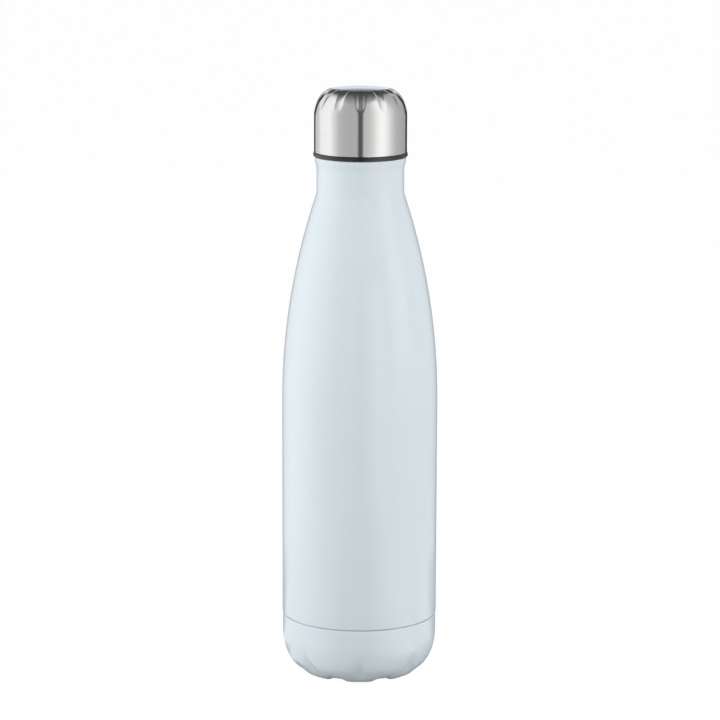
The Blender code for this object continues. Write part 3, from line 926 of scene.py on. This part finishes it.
# Level of the dome's ceiling by degrees from the front horizon over the top to the back one
DOME_CEILING = (
    (-180, 0.25), (0, 0.60), (42, 0.60), (54, 0.53), (68, 0.40), (80, 0.30), (92, 0.22), (110, 0.11),
    (136, 0.07), (150, 0.12), (160, 0.22), (180, 0.25),
)

# Ceiling at the sides: where it starts and its run (dome radii), and its level
SIDE_START, SIDE_RUN, SIDE_LEVEL = 0.33, 0.27, 0.58

# Dark slot in front: half width and soft edge, its end at the back and run (dome radii), and its shade
SLOT_WIDTH, SLOT_EDGE, SLOT_BACK, SLOT_BACK_RUN, SLOT_SHADE = 0.087, 0.03, 0.3, 0.2, 0.82

# Higher up the slot is wider and paler: start and run of the change (right angles), and its amounts
HIGH_START, HIGH_RUN, HIGH_WIDER, HIGH_PALER = 0.32, 0.20, 0.08, 0.34

# Share of a cool tone in the dome by degrees from the front, and what it takes off red and green
DOME_COOL = (
    (-180, 1.0), (-150, 1.0), (-138, 0.0), (-8, 0.0), (-5, 0.6), (5, 0.6), (8, 0.0), (100, 0.0),
    (118, 0.3), (138, 0.3), (150, 1.0), (180, 1.0),
)
COOL_RED, COOL_GREEN = 0.14, 0.06

# Dark and bright cards for the gloss as (name, radii of the lower and upper edge, start and end in degrees
# from the front, heights of both edges, level), and the flats in each
GLOSS_CARDS = (
    ("low_flag", (0.20, 0.20), 141, 216, 0.0, 0.240, 0.03),
    ("right_flag", (0.20, 0.20), 137, 155, 0.240, 0.345, 0.03),
    ("left_flag", (0.20, 0.20), 205, 223, 0.240, 0.345, 0.03),
    ("laid_flag", (0.055, 0.22), 115, 230, 0.0005, 0.0005, 0.05),
    # Dark rings laid round the foot: painted shadow of the bottle on the floor, seen only in gloss, where
    # the floor otherwise shows white
    ("under_painted_shadow", (0.018, 0.034), 0, 360, 0.0004, 0.0004, 0.10),
    ("right_painted_shadow", (0.034, 0.070), 40, 150, 0.0004, 0.0004, 0.22),
    ("left_painted_shadow", (0.034, 0.054), 215, 262, 0.0004, 0.0004, 0.30),
    ("front_hung_card", (0.355, 0.355), -32, 17, 0.0, 0.165, 0.15),
    ("front_laid_card", (0.050, 0.355), -32, 17, 0.0005, 0.0005, 0.15),
    ("right_hung_card", (0.355, 0.355), 29, 72, 0.0, 0.165, 1.8),
    ("right_laid_card", (0.050, 0.355), 29, 72, 0.0005, 0.0005, 1.8),
    ("neck_stripe", (0.050, 0.050), 17, 44, 0.204, 0.225, 1.45),
    ("side_stripe", (0.100, 0.100), 16, 33, 0.060, 0.196, 1.8),
)
CARD_STEPS = 24

# Half width of the floor, its level to the camera, and how much light its matt share throws back
FLOOR_REACH = 12.0
FLOOR_WHITE = 1.015
FLOOR_MATT = 0.97

# Softboxes: width and height, the point they face, and their places
SOFTBOX_SIZE = (0.60, 0.70)
SOFTBOX_AIM = (0.0, 0.0, 0.13)
LEFT_SOFTBOX = (-0.95, -0.45, 0.38)
RIGHT_SOFTBOX = (0.95, -0.40, 0.38)

# Camera: its place, its tilt up from straight down and its roll in degrees, and its sensor in millimetres
CAMERA_PLACE = (0.00005, -1.3296, 0.4084)
CAMERA_TILT = 78.72
CAMERA_ROLL = 0.17
SENSOR_WIDTH = 36.0


def glow(name, level=1.0):
    """Material that only shines, and its emission shader."""
    material = bpy.data.materials.new(name)
    material.use_nodes = True
    tree = material.node_tree
    tree.nodes.clear()
    shine = add_node(tree, "ShaderNodeEmission", Strength=level)
    add_node(tree, "ShaderNodeOutputMaterial", Surface=shine.outputs[0])
    return material, shine


def mirrored_only(obj):
    """Stage card that shows in gloss and in nothing else."""
    for ray in ("camera", "diffuse", "transmission", "volume_scatter", "shadow"):
        setattr(obj, f"visible_{ray}", False)


def bent_card(name, radii, start, end, heights):
    """Card bent round the bottle's axis, from start to end in degrees from the front."""
    points = []
    for i in range(CARD_STEPS + 1):
        a = radians(start + (end - start) * i / CARD_STEPS)
        points += [(r * sin(a), -r * cos(a), z) for r, z in zip(radii, heights)]
    faces = [(2 * i, 2 * i + 2, 2 * i + 3, 2 * i + 1) for i in range(CARD_STEPS)]
    data = bpy.data.meshes.new(name)
    data.from_pydata(points, [], faces)
    return set_down(name, data)


def banded(around, stops, most):
    """Level by bearing: stops of (degrees from the front, level), joined by straight runs."""
    ramp = add_node(around.tree, "ShaderNodeValToRGB", Fac=around)
    band = ramp.color_ramp.elements
    while len(band) < len(stops):
        band.new(0.5)
    for element, (place, level) in zip(band, stops):
        element.position = place / 360 + 0.5
        element.color = (level / most, level / most, level / most, 1.0)
    return Term(around.tree, ramp.outputs[0]) * most


def make_dome(studio):
    """Dome of cards for the metal to mirror: bright sides, a dark gap in front and a dark ceiling."""
    mesh = bmesh.new()
    bmesh.ops.create_uvsphere(mesh, u_segments=64, v_segments=32, radius=studio.dome_radius)
    data = kept_mesh("card_dome", mesh)
    data.transform(Matrix.Translation((0.0, 0.0, studio.dome_height)))
    dome = set_down("card_dome", data)
    material, shine = glow("dome_cards")
    tree = material.node_tree
    x, y, z = parts(tree, add_node(tree, "ShaderNodeTexCoord").outputs["Object"])
    around = x.bearing(-y) / tau + 0.5
    rise = (z - studio.dome_height).bearing((x * x + y * y).root()) / (pi / 2)
    card = banded(around, DOME_CARDS, 2.0)
    edge = banded(around, DOME_EDGES, 90.0) / 90.0
    dark = ((rise - edge) / (edge * CARD_FADE)).eased()
    over = (z - studio.dome_height).bearing(-y) / tau + 0.5
    aside = x.size() / studio.dome_radius
    beside = ((aside - SIDE_START) / SIDE_RUN).eased()
    ceiling = banded(over, DOME_CEILING, 1.0) * (1.0 - beside) + SIDE_LEVEL * beside
    high = ((rise - HIGH_START) / HIGH_RUN).eased()
    past_edge = ((aside - high * HIGH_WIDER - SLOT_WIDTH) / SLOT_EDGE).eased()
    in_front = ((SLOT_BACK - y / studio.dome_radius) / SLOT_BACK_RUN).eased()
    slot = (SLOT_SHADE - HIGH_PALER * high) * (1.0 - past_edge) * in_front
    level = (card * (1.0 - dark) + ceiling * dark) * (1.0 - slot)
    cool = banded(around, DOME_COOL, 1.0)
    tint = joined(1.0 - COOL_RED * cool, 1.0 - COOL_GREEN * cool, 1.0)
    feed(tree, shine, Strength=level, Color=tint)
    data.materials.append(material)
    mirrored_only(dome)


def make_gloss_cards():
    """Cards hung and laid round the bottle, for dark outlines, pale stripes and painted shadow on the floor
    under the bottle, seen in metal and lacquer.
    """
    for name, radii, start, end, low, high, level in GLOSS_CARDS:
        card = bent_card(name, radii, start, end, (low, high))
        card.data.materials.append(glow(name, level)[0])
        mirrored_only(card)


def white_to_camera(tree):
    """Term that is 1 on rays from the camera, in gloss and through glass, and 0 on others."""
    path = add_node(tree, "ShaderNodeLightPath")
    kinds = ("Is Camera Ray", "Is Glossy Ray", "Is Transmission Ray")
    camera, gloss, through = (Term(tree, path.outputs[kind]) for kind in kinds)
    return camera.over(gloss).over(through)


def mixed(tree, factor, one, two):
    node = add_node(tree, "ShaderNodeMixShader")
    for socket, value in zip(node.inputs, (factor, one, two)):
        put(tree, socket, value)
    return node.outputs[0]


def matt(tree, level):
    return add_node(tree, "ShaderNodeBsdfDiffuse", Color=(level, level, level, 1.0)).outputs[0]


def make_floor(studio):
    """Pale floor that is white to the camera and keeps the bottle's shadow."""
    mesh = bmesh.new()
    bmesh.ops.create_grid(mesh, x_segments=2, y_segments=2, size=FLOOR_REACH)
    data = kept_mesh("studio_floor", mesh)
    floor = set_down("studio_floor", data)
    material, shine = glow("pale_floor", FLOOR_WHITE)
    tree = material.node_tree
    white = mixed(tree, studio.floor_glow, matt(tree, FLOOR_MATT), shine.outputs[0])
    floor_light = mixed(tree, white_to_camera(tree), matt(tree, studio.floor_bounce), white)
    feed(tree, tree.get_output_node("ALL"), Surface=floor_light)
    data.materials.append(material)


def make_world(studio):
    """Even fill light, with a white surround for the camera and for gloss."""
    world = bpy.data.worlds.new("studio_surround")
    world.use_nodes = True
    tree = world.node_tree
    tree.nodes.clear()
    white = (1.0, 1.0, 1.0, 1.0)
    fill = add_node(tree, "ShaderNodeBackground", Color=white, Strength=studio.fill)
    bright = add_node(tree, "ShaderNodeBackground", Color=white)
    surround = mixed(tree, white_to_camera(tree), fill.outputs[0], bright.outputs[0])
    add_node(tree, "ShaderNodeOutputWorld", Surface=surround)
    bpy.context.scene.world = world


def softbox(name, place, power):
    """White softbox that lights the bottle's middle and shows in no gloss."""
    lamp = bpy.data.lights.new(name, "AREA")
    lamp.shape = "RECTANGLE"
    lamp.size, lamp.size_y = SOFTBOX_SIZE
    lamp.energy = power
    made = set_down(name, lamp)
    made.location = place
    made.rotation_euler = (Vector(SOFTBOX_AIM) - Vector(place)).to_track_quat("-Z", "Y").to_euler()
    made.visible_glossy = False
    made.visible_camera = False


def make_camera(studio):
    """Camera in front of the bottle and a little above it."""
    lens = bpy.data.cameras.new("studio_camera")
    lens.lens = studio.lens
    lens.sensor_width = SENSOR_WIDTH
    made = set_down("studio_camera", lens)
    made.location = CAMERA_PLACE
    level = Euler((radians(CAMERA_TILT), 0.0, 0.0)).to_matrix()
    roll = Matrix.Rotation(radians(CAMERA_ROLL), 3, "Z")
    made.rotation_euler = (level @ roll).to_euler()
    bpy.context.scene.camera = made


class BOTTLE_OT_stage(Operator):
    """Make the studio: floor, surround, softboxes, cards and camera"""

    bl_idname = "bottle.stage"
    bl_label = "Studio"

    def execute(self, context):
        studio = settings().studio
        context.scene.view_settings.view_transform = "Standard"
        make_world(studio)
        make_floor(studio)
        make_dome(studio)
        make_gloss_cards()
        softbox("left_softbox", LEFT_SOFTBOX, studio.left_power)
        softbox("right_softbox", RIGHT_SOFTBOX, studio.right_power)
        make_camera(studio)
        return {"FINISHED"}


class BOTTLE_PT_pieces(Panel):
    """Pieces of the bottle, with their sizes and finishes"""

    bl_idname = "BOTTLE_PT_pieces"
    bl_label = "Insulated Bottle"
    bl_space_type = "VIEW_3D"
    bl_region_type = "UI"
    bl_category = "Bottle"

    def draw(self, context):
        layout = self.layout
        for operator in operators:
            layout.operator(operator.bl_idname)
        for label in BottleSettings.__annotations__:
            group = getattr(context.scene.bottle, label)
            box = layout.box()
            box.label(text=label.capitalize())
            for name in group.__annotations__:
                box.prop(group, name)


operators = (
    BOTTLE_OT_body, BOTTLE_OT_base, BOTTLE_OT_cap, BOTTLE_OT_plug, BOTTLE_OT_seal, BOTTLE_OT_liner,
    BOTTLE_OT_hidden, BOTTLE_OT_stage,
)
groups = (BodySizes, BaseSizes, CapSizes, NeckSizes, Finishes, Studio, BottleSettings)
classes = groups + operators + (BOTTLE_PT_pieces,)


def register():
    for cls in classes:
        bpy.utils.register_class(cls)
    bpy.types.Scene.bottle = PointerProperty(type=BottleSettings)


def unregister():
    del bpy.types.Scene.bottle
    for cls in reversed(classes):
        bpy.utils.unregister_class(cls)


def main():
    register()
    bpy.ops.bottle.body()
    bpy.ops.bottle.base()
    bpy.ops.bottle.cap()
    bpy.ops.bottle.plug()
    bpy.ops.bottle.seal()
    bpy.ops.bottle.liner()
    bpy.ops.bottle.hidden()
    bpy.ops.bottle.stage()


if __name__ == "__main__":
    main()
